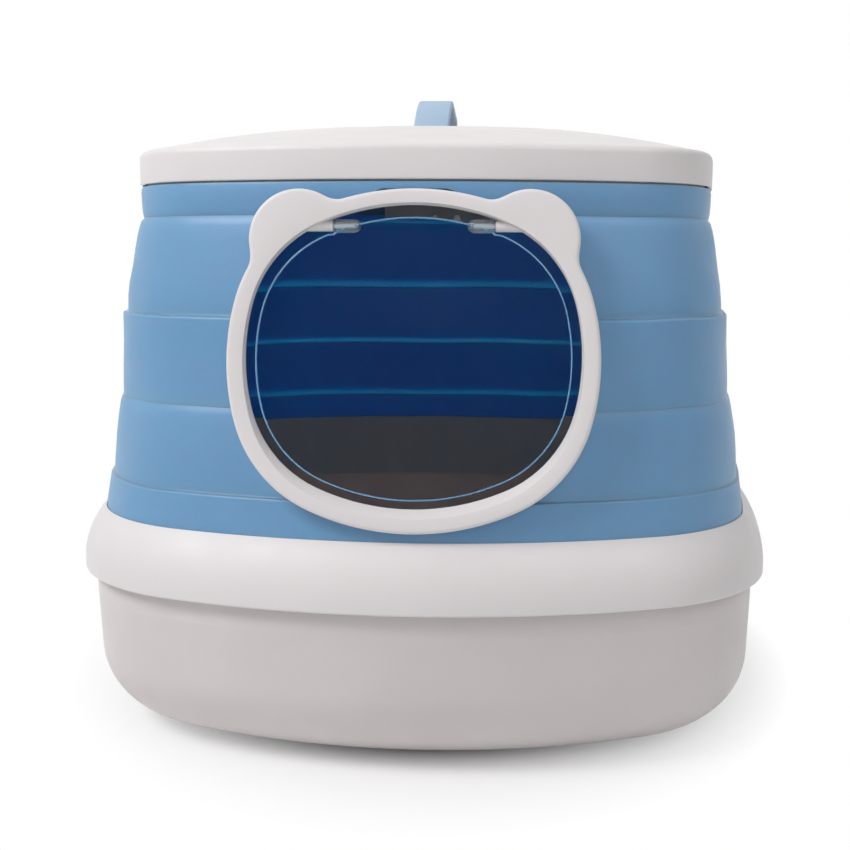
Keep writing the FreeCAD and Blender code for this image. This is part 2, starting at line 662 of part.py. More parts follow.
def front_bevel():
    """Sloping inner edge of the frame's face, widest at the foot and narrowest at the top."""
    front = oval_arcs(HOLE_HALF_WIDTH + BEVEL_SIDE, HOLE_HALF_HEIGHT + (BEVEL_FOOT + BEVEL_TOP) / 2,
                      HOLE_END_RADIUS, HOLE_SIDE_RADIUS, HOLE_CORNER_RADIUS)
    wide = outline(front, 0, 0).translated(Vector(0, HOLE_CENTRE - (BEVEL_FOOT - BEVEL_TOP) / 2, 0))
    narrow = outline(HOLE, -BEVEL_SIDE / 4, -BEVEL_DEPTH).translated(Vector(0, HOLE_CENTRE, 0))
    return Part.makeLoft([narrow, wide], True, True)


def largest(shape):
    """Main solid of a cut shape."""
    return max(shape.Solids, key=lambda solid: solid.Volume)


def peg_start():
    return FLAP_KNUCKLE_INNER + FLAP_KNUCKLE_LENGTH + PEG_GAP


def flap_rod(radius, start, end):
    """Round bar on the flap's hinge axis, drawn flat."""
    return rod(radius, start, end, FLAP_AXIS_S, -FLAP_SET_BACK)


def door_flap():
    back = -FLAP_SET_BACK - FLAP_THICKNESS / 2
    plate = slab(FLAP, 0, back, back + FLAP_THICKNESS)
    rims = [edge for edge in plate.Edges if edge.BoundBox.ZLength < 1e-6]
    plate = plate.makeChamfer(FLAP_EDGE_BEVEL, rims).translated(Vector(0, FLAP_CENTRE, 0))
    shoulder_s = FLAP_AXIS_S - PEG_RADIUS - SHOULDER_GAP
    outer = FLAP_KNUCKLE_INNER + FLAP_KNUCKLE_LENGTH
    for side in (-1, 1):
        near = side * outer
        far = side * FLAP_HALF_WIDTH
        shoulder = box(Vector(min(near, far), shoulder_s, back - FLAP_THICKNESS),
                       Vector(max(near, far), FLAP_CENTRE + FLAP_HALF_HEIGHT, FLAP_THICKNESS))
        nose_x = side * (FLAP_KNUCKLE_INNER + FLAP_KNUCKLE_RADIUS)
        nose_centre = Vector(nose_x, FLAP_AXIS_S, -FLAP_SET_BACK)
        nose = Part.makeSphere(FLAP_KNUCKLE_RADIUS, nose_centre, ACROSS * -side, 0, 90, 360)
        knuckle = flap_rod(FLAP_KNUCKLE_RADIUS, nose_x, near).fuse(nose)
        bore = flap_rod(FLAP_PIN_RADIUS + HINGE_RUNNING_GAP,
                        side * (FLAP_KNUCKLE_INNER + FLAP_PIN_END_GAP), near)
        plate = plate.cut(shoulder).fuse(knuckle).cut(bore)
    return in_door_plane(plate)


def flap_hinge_pins():
    start = FLAP_KNUCKLE_INNER + 2 * FLAP_PIN_END_GAP
    end = peg_start() + FLAP_PIN_GRIP
    pins = [in_door_plane(flap_rod(FLAP_PIN_RADIUS, side * start, side * end)) for side in (-1, 1)]
    return Part.makeCompound(pins)


PARTS = {
    "litter_pan": litter_pan(),
    "base_collar": base_collar(),
    "wall_clamp_ring": wall_clamp_ring(),
    "wall_band_bottom": wall_band(BOTTOM_BAND_FACE),
    "fold_band_lower": wall_band(LOWER_FOLD_FACE),
    "wall_band_middle": wall_band(MIDDLE_BAND_FACE),
    "fold_band_upper": wall_band(UPPER_FOLD_FACE),
    "wall_band_top": top_band(),
    "top_ring": top_ring(),
    "lid": lid(),
    "carry_handle": carry_handle(),
    "handle_retainers": handle_retainers(),
    "lid_hinge_leaf": lid_hinge_leaf(),
    "lid_hinge_bracket": lid_hinge_bracket(),
    "lid_hinge_pin": lid_hinge_pin(),
    "hinge_screws": hinge_screws(0),
    "door_frame": door_frame(),
    "door_flap": door_flap(),
    "flap_hinge_pins": flap_hinge_pins(),
}

os.makedirs("parts", exist_ok=True)
for name, shape in PARTS.items():
    shape.exportStep("parts/" + name + ".step")
    print(name, "solids", len(shape.Solids), "valid", shape.isValid(), "volume", round(shape.Volume))
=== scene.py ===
import math

import bmesh
import bpy
from mathutils import Matrix, Vector, noise


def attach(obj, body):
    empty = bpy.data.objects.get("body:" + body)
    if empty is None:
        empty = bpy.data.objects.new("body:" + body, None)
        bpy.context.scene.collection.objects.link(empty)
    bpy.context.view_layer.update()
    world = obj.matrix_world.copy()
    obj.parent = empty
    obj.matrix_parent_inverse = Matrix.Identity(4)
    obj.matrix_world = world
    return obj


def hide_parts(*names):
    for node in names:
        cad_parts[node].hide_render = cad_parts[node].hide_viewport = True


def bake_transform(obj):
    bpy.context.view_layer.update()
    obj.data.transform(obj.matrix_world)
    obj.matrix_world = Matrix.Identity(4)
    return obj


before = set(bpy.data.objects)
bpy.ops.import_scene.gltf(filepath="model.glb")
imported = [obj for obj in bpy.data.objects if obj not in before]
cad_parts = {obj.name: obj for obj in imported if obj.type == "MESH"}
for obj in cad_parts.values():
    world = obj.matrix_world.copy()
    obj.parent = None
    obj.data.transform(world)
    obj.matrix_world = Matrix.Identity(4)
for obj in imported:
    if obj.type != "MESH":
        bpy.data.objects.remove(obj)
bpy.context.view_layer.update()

# Foldable litter box. Sizes are in millimetres, and a mesh is scaled to metres when it is made.
MM = 0.001

# Camera, as fitted to the photograph
IMAGE_PIXELS = 850
FOCAL_PIXELS = 1184.77
SENSOR_WIDTH = 36.0
CAMERA_PLACE = Vector((34.7, -781.0, 255.9)) * MM
CAMERA_PITCH = 0.1419
CAMERA_YAW = 0.0519
CAMERA_ROLL = 0.0049

# Plan outline of the base collar; the other rings are parallel offsets of it
HALF_WIDTH = 200.0
HALF_DEPTH = 250.0
END_RADIUS = 347.0
SIDE_RADIUS = 744.0
CORNER_RADIUS = 99.0
ARC_STEPS = 30

# Litter pan
PAN_HEIGHT = 97.0
PAN_WALL = 2.5
PAN_OFFSET = -6.0
PAN_TAPER_TOP = 78.0
PAN_RIM_EDGE = 0.6
PAN_RIM_LOOP = 88.0
PAN_FACE_LOOPS = (60.0, 68.0, 76.5)
PAN_ROUND_STEPS = 20
# Taper and base round, at the pan's sides and at its ends
PAN_SIDE = (2.0, 43.0)
PAN_END = (16.0, 46.0)

# Base collar
COLLAR_NECK = -11.7
COLLAR_TOP = 122.0
COLLAR_SHOULDER = 110.3
COLLAR_ROLL = 38.0
COLLAR_FOOT = 89.4
COLLAR_FOOT_ROUND = 1.4
COLLAR_INNER_ROUND = 0.8
COLLAR_WALL = 3.0
COLLAR_HOLLOW_TOP = 109.06
COLLAR_RIB = -9.2
COLLAR_RIB_TOP = 102.9
COLLAR_SEAT = 99.5
COLLAR_STEPS = 9

# Folding wall
WALL = 2.2
CREASES = (140.0, 182.0, 226.0, 275.0)
CREASE_THIN = 1.3
CREASE_REACH = 2.2
CREASE_RISE = 2.0
SOFTNESS = 1.4
FINE_SHARE = 0.4
CREASE_WANDER = 1.0
# Noise per millimetre, and how much closer its changes lie up the wall
BROAD_NOISE, BROAD_RISE = 0.014, 0.8
FINE_NOISE, FINE_RISE = 0.035, 1.6
WANDER_NOISE = 0.02
# Heights, and the distance from the middle of the front, between which the wall grows soft
SOFT_FOOT = (122.0, 150.0)
SOFT_TOP = (270.0, 289.0)
SOFT_FRONT = (100.0, 140.0)
WALL_SHARP_ANGLE = 50

# Lid and the hinge at its rear
LID_OFFSET = -34.3
LID_BOTTOM = 291.6
LID_WALL = 2.2
LID_SHOULDER = 308.4
LID_SHOULDER_ROUND = 4.0
LID_FOOT_ROUND = 0.7
LID_INNER_EDGE = 0.6
LID_HOLLOW_TOP = 306.6
LID_HOLLOW_ROUND = 2.0
LID_ROUND_STEPS = 8
# Section of the rib that locates the lid, as (offset, height)
LID_RIB = [(-37.9, 303.3), (-37.9, 307.2), (-40.1, 307.8), (-40.1, 303.3)]
DOME_OFFSET = -41.3
DOME_FOOT = 309.6
LID_CROWN = 24.0
CROWN_STEPS = 24
LID_TOP = DOME_FOOT + LID_CROWN
HINGE_Y = 218.2
HINGE_Z = 288.5
HINGE_KNUCKLE = (15.4, 29.4)
HINGE_KNUCKLE_RADIUS = 2.3
HINGE_KNUCKLE_EDGE = 0.3
HINGE_BORE = 1.3
# Arm from the lid's skirt, with its heights above the lid's foot, and the root that joins it to a knuckle
ARM_RISE = (0.4, 4.4)
ARM_END = HINGE_Y - 1.1
ARM_EDGE = 0.5
ROOT_Y = (HINGE_Y - 2.2, HINGE_Y - 0.2)
ROOT_Z = (HINGE_Z + 1.6, LID_BOTTOM + 2.2)
ROOT_EDGE = 0.4

# Carry handle
HANDLE_TAIL = 9.8
HANDLE_FOOT = LID_TOP - HANDLE_TAIL
HANDLE_FOOT_Y = 73.9
HANDLE_TOP = 346.3
HANDLE_TOP_Y = 66.6
HANDLE_BEND = 30.0
HANDLE_WIDTH = 20.5
HANDLE_THICKNESS = 4.0
HANDLE_EDGE = 1.5
HANDLE_SWAY = 2.5
HANDLE_BEND_STEPS = 16
HANDLE_EDGE_STEPS = 6
TOGGLE_Y = 74.0
TOGGLE_HALF_WIDTH = 16.0
TOGGLE_HALF_LENGTH = 5.0
TOGGLE_HEIGHT = 4.5
TOGGLE_EDGE = 1.0

# Door: points are (across, up the door, depth), and depth is positive outwards
DOOR_LEAN = math.radians(7.595)
DOOR_FOOT = Vector((0, -243.1, 124.3))
DOOR_RAYS = 360
RAY_REACH = (1.0, 200.0)
WALL_REACH = (-70.0, 20.0)
CUT_REACH = (-45.0, 45.0)
SEAT_GAP = 1.2
FRAME_CENTRE = 83.6
FRAME_EDGE_ROUND = 2.0
FRAME_EDGE_STEPS = 6
FRAME_FACE = 5.0
FRAME_SKIRT = 2.4
# Centre and radius of an ear
EAR = (54.2, 140.8, 23.4)
EAR_BLEND = 5.0
HOLE_CENTRE = 85.7
BEVEL_CENTRE = 83.8
BEVEL_DEPTH = 4.0
# Gap and depth along the rounded edges of the bevel, at the frame's face and at its foot
BEVEL_FACE_EDGE = [(0.7, 0), (0.3, -0.1), (0.1, -0.35)]
BEVEL_FOOT_EDGE = [(0.25, 0.5 - BEVEL_DEPTH), (0.05, -BEVEL_DEPTH), (0, -0.4 - BEVEL_DEPTH)]
SLEEVE_SET = 3.4
SLEEVE_WALL = 2.4
SLEEVE_PROUD = 1.5
SLEEVE_EDGE = 0.3
SLEEVE_CLEARANCE = 0.4
CHANNEL_SET = 0.2
# Finger notch above the frame: its half width and height at its sides, and at its top
NOTCH_SIDE = (18.0, 164.4)
NOTCH_TOP = (15.0, 165.2)
FLAP_CENTRE = 84.8
FLAP_DEPTH = -5.0
FLAP_THICKNESS = 2.4
FLAP_EDGE_ROUND = 0.7
FLAP_EDGE_STEPS = 6
FLAP_AXIS = 147.2
SHOULDER_GAP = 1.0
# Start, end and radius of the flap's knuckles and of the frame's pegs
KNUCKLE = (25.0, 37.5, 3.2)
PEG = (38.0, 53.0, 2.6)
PEG_EDGE = 0.4
KNUCKLE_NOSE_STEPS = 8
KNUCKLE_TIP = 0.05
KNUCKLE_EDGE = 0.3
KNUCKLE_BORE = 1.3
KNUCKLE_BORE_END = 1.5
PANEL_SLOT, EDGE_SLOT, KNUCKLE_SLOT = 0, 1, 2
# Ovals of the door: half width, half height, end radius, side radius and corner radius
FRAME_OVAL = (87.7, 80.8, 119.0, 111.0, 63.0)
HOLE_OVAL = (79.0, 71.4, 110.0, 102.0, 56.0)
BEVEL_OVAL = (79.6, 73.6, 110.0, 102.0, 56.0)
FLAP_OVAL = (74.7, 66.9, 105.0, 98.0, 52.0)

# Fineness of turned forms and of the search for a root
TURNED_STEPS = 28
HALVINGS = 34

# Noise and depth of a moulded surface's gloss and grain, per metre and in metres
GLOSS_NOISE = 55.0
GRAIN_NOISE = 1400.0
GRAIN_DEPTH = 0.0005

# Floor in metres; it fades to white between two distances, in half sizes of the box
FLOOR_SIZE = 60.0
FLOOR_DROP = 0.0005
FLOOR_FADE = (0.75, 1.15)

# Colours of the floor and the background, and the strength of the surrounding light
PAPER = (0.92, 0.92, 0.92, 1)
PURE_WHITE = (1.0, 1.0, 1.0, 1)
AMBIENT = 0.27


def oval_arcs(half_width, half_height, end_radius, side_radius, corner_radius):
    """Centre, radius and angles of the eight tangent arcs of an oval, anticlockwise from its foot."""
    end_y = end_radius - half_height
    side_x = half_width - side_radius
    end_reach = end_radius - corner_radius
    side_reach = side_radius - corner_radius
    apart = math.hypot(side_x, end_y)
    along = (end_reach ** 2 - side_reach ** 2 + apart ** 2) / (2 * apart)
    aside = math.sqrt(end_reach ** 2 - along ** 2)
    way = Vector((side_x, -end_y)) / apart
    corner = Vector((0, end_y)) + way * along - Vector((way.y, -way.x)) * aside
    end_turn = math.atan2(corner.y - end_y, corner.x)
    side_turn = math.atan2(corner.y, corner.x - side_x)
    half = math.pi
    return [
        (0, end_y, end_radius, -half - end_turn, end_turn),
        (corner.x, corner.y, corner_radius, end_turn, side_turn),
        (side_x, 0, side_radius, side_turn, -side_turn),
        (corner.x, -corner.y, corner_radius, -side_turn, -end_turn),
        (0, -end_y, end_radius, -end_turn, half + end_turn),
        (-corner.x, -corner.y, corner_radius, half + end_turn, half + side_turn),
        (-side_x, 0, side_radius, half + side_turn, half - side_turn),
        (-corner.x, corner.y, corner_radius, half - side_turn, half - end_turn),
    ]


PLAN = oval_arcs(HALF_WIDTH, HALF_DEPTH, END_RADIUS, SIDE_RADIUS, CORNER_RADIUS)
FRAME = oval_arcs(*FRAME_OVAL)
HOLE = oval_arcs(*HOLE_OVAL)
BEVEL = oval_arcs(*BEVEL_OVAL)
FLAP = oval_arcs(*FLAP_OVAL)


def oval_loop(arcs, offset, z, scale=1.0):
    """Points round an oval at a height, parallel to it at an offset and shrunk by a scale."""
    loop = []
    for x, y, radius, start, end in arcs:
        for step in range(ARC_STEPS):
            turn = start + (end - start) * step / ARC_STEPS
            reach = radius + offset
            across, along = x + reach * math.cos(turn), y + reach * math.sin(turn)
            loop.append(Vector((across * scale, along * scale, z)))
    return loop


def oval_gap(arcs, x, y):
    """How far a point stands outside an oval, negative inside."""
    x, y = abs(x), abs(y)
    for centre_x, centre_y, radius, start, end in arcs[2:5]:
        if math.atan2(y - centre_y, x - centre_x) <= end:
            break
    return math.hypot(x - centre_x, y - centre_y) - radius


def root(function, low, high):
    """Where a rising function passes zero."""
    for step in range(HALVINGS):
        middle = (low + high) / 2
        if function(middle) < 0:
            low = middle
        else:
            high = middle
    return (low + high) / 2


def rounded(corners, steps=5):
    """Points of a section; a corner given with a radius becomes an arc."""
    points = []
    for index, corner in enumerate(corners):
        here = Vector(corner[:2])
        if len(corner) == 2:
            points.append(here)
            continue
        before = (Vector(corners[index - 1][:2]) - here).normalized()
        after = (Vector(corners[(index + 1) % len(corners)][:2]) - here).normalized()
        half = before.angle(after) / 2
        middle = here + (before + after).normalized() * corner[2] / math.sin(half)
        first = here + before * corner[2] / math.tan(half) - middle
        last = here + after * corner[2] / math.tan(half) - middle
        turn = first.angle_signed(last)
        points += [middle + Matrix.Rotation(-turn * step / steps, 2) @ first for step in range(steps + 1)]
    return points


def skin(bm, loops, closed=False):
    """Faces through loops of points; the two ends are capped, or joined when the section is closed."""
    rows = [[bm.verts.new(point * MM) for point in loop] for loop in loops]
    pairs = list(zip(rows, rows[1:]))
    if closed:
        pairs.append((rows[-1], rows[0]))
    else:
        bm.faces.new(rows[0][::-1])
        bm.faces.new(rows[-1])
    for low, high in pairs:
        for index in range(len(low)):
            bm.faces.new((low[index - 1], low[index], high[index], high[index - 1]))


def plan_ring(bm, section, settle=None):
    """Ring round the plan outline with a closed section of (offset, height)."""
    loops = [oval_loop(PLAN, offset, z) for offset, z in section]
    if settle:
        loops = [[settle(point) for point in loop] for loop in loops]
    skin(bm, loops, closed=True)


def block(bm, low, high, edge):
    """Block between two corners with its edges rounded."""
    middle = (low + high) / 2 * MM
    made = bmesh.ops.create_cube(bm, matrix=Matrix.LocRotScale(middle, None, (high - low) * MM))
    edges = {link for vertex in made["verts"] for link in vertex.link_edges}
    bmesh.ops.bevel(bm, geom=list(edges), offset=edge * MM, segments=3, profile=0.5, affect="EDGES")


def turned(bm, profile, y, z, closed=False):
    """Form turned about a line across the box; the profile is (across, radius)."""
    turns = [math.tau * step / TURNED_STEPS for step in range(TURNED_STEPS)]
    loops = [[Vector((x, y + radius * math.cos(turn), z + radius * math.sin(turn))) for turn in turns]
             for x, radius in profile]
    skin(bm, loops, closed)


def mesh_object(name, bm, cutters=()):
    """Object of a mesh, with the cutters' space taken out of it."""
    bmesh.ops.recalc_face_normals(bm, faces=bm.faces)
    mesh = bpy.data.meshes.new(name)
    bm.to_mesh(mesh)
    bm.free()
    made = bpy.data.objects.new(name, mesh)
    bpy.context.scene.collection.objects.link(made)
    for cutter in cutters:
        cut = made.modifiers.new("cut", "BOOLEAN")
        cut.operation = "DIFFERENCE"
        cut.solver = "EXACT"
        cut.object = cutter
    if cutters:
        bpy.context.view_layer.update()
        evaluated = made.evaluated_get(bpy.context.evaluated_depsgraph_get())
        made.data = bpy.data.meshes.new_from_object(evaluated)
        made.modifiers.clear()
        bpy.data.meshes.remove(mesh)
    return made


def piece(name, bm, finish, node, bodies, sharp=32, cutters=()):
    """Finished piece that stands for a node; with one body it rides on that body, with more its place is
    baked into its mesh and it rides on none.
    """
    made = mesh_object(name, bm, cutters)
    if cutters:
        made.data.materials.clear()
    made.data.materials.append(finish)
    made.data.shade_smooth()
    made.data.set_sharp_from_angle(angle=math.radians(sharp))
    if len(bodies) == 1:
        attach(made, bodies[0])
    else:
        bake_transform(made)
    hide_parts(node)
    return made


def node_tree(owner):
    """Empty node tree of a material or world, with its output node."""
    owner.use_nodes = True
    tree = owner.node_tree
    tree.nodes.clear()
    kind = "ShaderNodeOutputWorld" if isinstance(owner, bpy.types.World) else "ShaderNodeOutputMaterial"
    return tree, tree.nodes.new(kind)


def add_node(tree, kind, **values):
    """New node; a name that matches an input sets or links that input, another sets a property."""
    node = tree.nodes.new("ShaderNode" + kind)
    for name, value in values.items():
        if name[0].islower():
            setattr(node, name, value)
    for name, value in values.items():
        if name[0].isupper():
            socket = node.inputs[name.replace("_", " ")]
            if isinstance(value, bpy.types.NodeSocket):
                tree.links.new(value, socket)
            else:
                socket.default_value = value
    return node


def principled(tree, output, **values):
    """Principled surface joined to the material's output."""
    surface = add_node(tree, "BsdfPrincipled", **values)
    tree.links.new(surface.outputs[0], output.inputs[0])


def mix_shaders(tree, output, factor, first, second):
    """Mix of two shaders joined to the output."""
    mix = add_node(tree, "MixShader")
    tree.links.new(factor, mix.inputs[0])
    tree.links.new(first.outputs[0], mix.inputs[1])
    tree.links.new(second.outputs[0], mix.inputs[2])
    tree.links.new(mix.outputs[0], output.inputs[0])


def noise_of(tree, scale, detail=2.0, stretch=None):
    """Noise in the object's own frame, stretched along its axes if asked."""
    place = add_node(tree, "TexCoord").outputs["Object"]
    if stretch:
        place = add_node(tree, "Mapping", Vector=place, Scale=stretch).outputs["Vector"]
    return add_node(tree, "TexNoise", Vector=place, Scale=scale, Detail=detail).outputs["Fac"]


def spread(tree, value, low, high, start=0.3, end=0.7):
    """Value carried from the middle of its range to another range."""
    node = add_node(tree, "MapRange", Value=value)
    for name, number in (("From Min", start), ("From Max", end), ("To Min", low), ("To Max", high)):
        node.inputs[name].default_value = number
    return node.outputs["Result"]


def colour_between(tree, factor, first, second):
    """Colour between two by a factor; the sockets of a mix are told apart by their numbers."""
    node = add_node(tree, "Mix", data_type="RGBA")
    tree.links.new(factor, node.inputs[0])
    node.inputs[6].default_value = (*first, 1)
    node.inputs[7].default_value = (*second, 1)
    return node.outputs[2]


def moulded(name, pale, deep, rough=(0.4, 0.55), grain=0.04, cloud=14.0, **shader):
    """Moulded plastic: faint clouds in its colour, uneven gloss and a fine surface grain."""
    material = bpy.data.materials.new(name)
    tree, output = node_tree(material)
    clouds = spread(tree, noise_of(tree, cloud, 4.0), 0.0, 1.0)
    gloss = spread(tree, noise_of(tree, GLOSS_NOISE, 3.0), *rough)
    fine = noise_of(tree, GRAIN_NOISE, 2.0)
    bump = add_node(tree, "Bump", Height=fine, Strength=grain, Distance=GRAIN_DEPTH)
    principled(tree, output, Base_Color=colour_between(tree, clouds, pale, deep),
               Roughness=gloss, Normal=bump.outputs["Normal"], **shader)
    return material


def clear_plastic(name):
    """Clear plastic sheet with faint smears that soften its gloss."""
    material = bpy.data.materials.new(name)
    tree, output = node_tree(material)
    smears = noise_of(tree, 18.0, 5.0, (1.0, 1.0, 0.3))
    tint = colour_between(tree, spread(tree, smears, 0.0, 1.0), (0.93, 0.96, 0.99), (0.86, 0.93, 0.98))
    principled(tree, output, Base_Color=tint, IOR=1.04, Transmission_Weight=1.0,
               Roughness=spread(tree, smears, 0.02, 0.07))
    return material


def painted_glow_edge(name):
    """Cut edge of the clear sheet, with a painted glow: a faint emission that stands for the light the edge
    gathers from the whole sheet.
    """
    material = bpy.data.materials.new(name)
    tree, output = node_tree(material)
    streaks = noise_of(tree, 60.0, 3.0)
    # The emission below is a painted glow along the cut edge, which is no lamp.
    principled(tree, output, IOR=1.35, Transmission_Weight=0.7,
               Base_Color=colour_between(tree, streaks, (0.42, 0.66, 0.86), (0.26, 0.52, 0.78)),
               Roughness=spread(tree, streaks, 0.12, 0.3),
               Emission_Color=(0.16, 0.52, 0.80, 1), Emission_Strength=0.1)
    return material


def thick_clear(name):
    """Thick clear plastic of the flap's knuckles, slightly milky."""
    material = bpy.data.materials.new(name)
    tree, output = node_tree(material)
    milk = noise_of(tree, 160.0, 3.0)
    principled(tree, output, IOR=1.45, Transmission_Weight=0.94,
               Base_Color=colour_between(tree, milk, (0.90, 0.94, 0.97), (0.74, 0.82, 0.88)),
               Roughness=spread(tree, milk, 0.05, 0.16))
    return material


def drawn_steel(name):
    """Steel with fine streaks along the pieces, which all lie across the box."""
    material = bpy.data.materials.new(name)
    tree, output = node_tree(material)
    streaks = noise_of(tree, 900.0, 3.0, (0.02, 1.0, 1.0))
    principled(tree, output, Metallic=1.0,
               Base_Color=colour_between(tree, streaks, (0.62, 0.62, 0.63), (0.42, 0.42, 0.44)),
               Roughness=spread(tree, streaks, 0.22, 0.42))
    return material


WHITE = moulded("matt_white", (0.755, 0.722, 0.727), (0.72, 0.688, 0.693))
PAN_WHITE = moulded("pan_white", (0.705, 0.655, 0.652), (0.67, 0.62, 0.617),
                    Subsurface_Weight=0.35, Subsurface_Scale=0.005, Subsurface_Radius=(1.0, 0.88, 0.82))
BLUE = moulded("soft_blue", (0.165, 0.348, 0.57), (0.15, 0.328, 0.55), rough=(0.38, 0.48), grain=0.06,
               Specular_IOR_Level=0.45, Subsurface_Weight=0.6, Subsurface_Scale=0.006,
               Subsurface_Radius=(0.05, 0.75, 1.0))
STRAP_BLUE = moulded("strap_blue", (0.38, 0.51, 0.66), (0.35, 0.48, 0.63), rough=(0.45, 0.6), grain=0.06)
CLEAR = clear_plastic("clear_sheet")
CLEAR_EDGE = painted_glow_edge("clear_sheet_edge")
CLEAR_THICK = thick_clear("clear_knuckle")
STEEL = drawn_steel("drawn_steel")

FINISHES = {
    "litter_pan": PAN_WHITE,
    "base_collar": WHITE,
    "wall_clamp_ring": WHITE,
    "wall_band_bottom": BLUE,
    "fold_band_lower": BLUE,
    "wall_band_middle": BLUE,
    "fold_band_upper": BLUE,
    "wall_band_top": BLUE,
    "top_ring": WHITE,
    "lid": WHITE,
    "carry_handle": STRAP_BLUE,
    "handle_retainers": WHITE,
    "lid_hinge_leaf": WHITE,
    "lid_hinge_bracket": WHITE,
    "lid_hinge_pin": STEEL,
    "hinge_screws": STEEL,
    "door_frame": WHITE,
    "door_flap": CLEAR,
    "flap_hinge_pins": STEEL,
}
for node, finish in FINISHES.items():
    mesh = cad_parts[node].data
    mesh.materials.clear()
    mesh.materials.append(finish)


def lean_in(height, taper, base_round):
    """How far the pan's face stands in from its top, at a height above its base."""
    inset = taper * max(0, 1 - height / PAN_TAPER_TOP)
    if height < base_round:
        inset += base_round - math.sqrt(base_round ** 2 - (base_round - height) ** 2)
    return inset


def pan_loop(z, inset):
    """Loop round the pan at a height: of its outer face, or of its hollow when inset by the wall."""
    side = inset + lean_in(z - inset, PAN_SIDE[0], PAN_SIDE[1] - inset) - PAN_OFFSET
    end = inset + lean_in(z - inset, PAN_END[0], PAN_END[1] - inset) - PAN_OFFSET
    arcs = oval_arcs(HALF_WIDTH - side, HALF_DEPTH - end, END_RADIUS - end,
                     SIDE_RADIUS - side, CORNER_RADIUS - (side + end) / 2)
    return oval_loop(arcs, 0, z)


def pan_face(inset):
    """Loops up the pan's face or hollow, close together on the rounded base."""
    base_round = PAN_END[1] - inset
    turns = [math.pi / 2 * step / PAN_ROUND_STEPS for step in range(PAN_ROUND_STEPS + 1)]
    heights = [inset + base_round * (1 - math.cos(turn)) for turn in turns]
    return [pan_loop(height, inset) for height in (*heights, *PAN_FACE_LOOPS)]


def make_pan():
    """Pan with a plain rim above its taper."""
    inner = PAN_OFFSET - PAN_WALL
    edge_foot = PAN_HEIGHT - PAN_RIM_EDGE
    rim = [(PAN_OFFSET, PAN_TAPER_TOP), (PAN_OFFSET, PAN_RIM_LOOP), (PAN_OFFSET, edge_foot),
           (PAN_OFFSET - PAN_RIM_EDGE, PAN_HEIGHT), (inner + PAN_RIM_EDGE, PAN_HEIGHT), (inner, edge_foot)]
    outside = pan_face(0) + [oval_loop(PLAN, offset, z) for offset, z in rim]
    bm = bmesh.new()
    skin(bm, outside + pan_face(PAN_WALL)[::-1])
    piece("pan_hull", bm, PAN_WHITE, "litter_pan", ["pan"])


def make_collar():
    """Rolled collar, whose hollow stands on the pan's rim."""
    bm = bmesh.new()
    plan_ring(bm, rounded([
        (COLLAR_NECK, COLLAR_TOP), (0, COLLAR_SHOULDER, COLLAR_ROLL), (0, COLLAR_FOOT, COLLAR_FOOT_ROUND),
        (-COLLAR_WALL, COLLAR_FOOT, COLLAR_INNER_ROUND), (-COLLAR_WALL, COLLAR_HOLLOW_TOP),
        (COLLAR_RIB, COLLAR_RIB_TOP), (COLLAR_RIB, COLLAR_SEAT), (PAN_OFFSET, COLLAR_SEAT),
        (PAN_OFFSET, PAN_HEIGHT), (COLLAR_NECK, PAN_HEIGHT)], COLLAR_STEPS))
    piece("rolled_collar", bm, WHITE, "base_collar", ["hood"])


# Outer face of the folding wall from foot to lid, as (offset, height), with a ledge or groove at each crease
WALL_FACES = {
    "bottom": [(-11.9, 99.9), (-11.9, 119.0), (-12.1, 122.5), (-12.7, 127.0), (-13.7, 133.0), (-14.4, 137.0),
               (-14.6, 138.4), (-14.7, 139.1), (-15.0, 139.7), (-15.4, 140.0)],
    "lower_fold": [(-15.4, 140.0), (-15.9, 140.1), (-16.3, 140.4), (-16.5, 141.0), (-16.6, 143.0),
                   (-16.8, 147.0), (-17.3, 153.0), (-18.0, 160.5), (-18.9, 167.0), (-19.9, 173.0),
                   (-20.8, 177.6), (-21.5, 180.0), (-22.6, 182.0)],
    "middle": [(-22.6, 182.0), (-22.75, 184.0), (-22.9, 188.0), (-23.3, 197.0), (-23.8, 210.0),
               (-24.0, 221.0), (-24.0, 224.2), (-24.06, 225.0), (-24.35, 225.65), (-24.9, 226.0)],
    "upper_fold": [(-24.9, 226.0), (-25.8, 226.1), (-26.4, 226.3), (-26.7, 226.9), (-26.8, 228.5),
                   (-27.1, 234.0), (-27.9, 241.0), (-29.6, 250.0), (-31.2, 260.0), (-32.3, 266.0),
                   (-33.2, 270.0), (-34.1, 273.0), (-35.6, 275.0)],
    "top": [(-35.6, 275.0), (-35.2, 276.4), (-34.9, 278.5), (-34.7, 283.0), (-34.7, 289.2), (-35.3, 290.7)],
}
# Neck and inner face of the top band, from its shoulder down to its crease
TOP_NECK = [(-40.5, 290.7), (-40.5, 300.9), (-42.7, 300.9), (-42.7, 288.5), (-36.9, 288.5), (-37.1, 279.0),
            (-36.4, 275.0)]
FACE_LINE = [point for face in WALL_FACES.values() for point in face]


def wall_offset(z):
    """Offset of the wall's outer face at a height."""
    for (low_offset, low), (high_offset, high) in zip(FACE_LINE, FACE_LINE[1:]):
        if low <= z < high:
            return low_offset + (high_offset - low_offset) * (z - low) / (high - low)
    return FACE_LINE[0][0] if z < FACE_LINE[0][1] else FACE_LINE[-1][0]


def thickness(z):
    """Thickness of the wall at a height, thinner just above its creases so that it folds there."""
    near = min(abs(z - crease - CREASE_RISE) for crease in CREASES)
    return WALL - CREASE_THIN * math.exp(-(near / CREASE_REACH) ** 2)


def ease(value, start, end):
    """0 before start, 1 after end and smooth between."""
    share = min(1.0, max(0.0, (value - start) / (end - start)))
    return share * share * (3 - 2 * share)


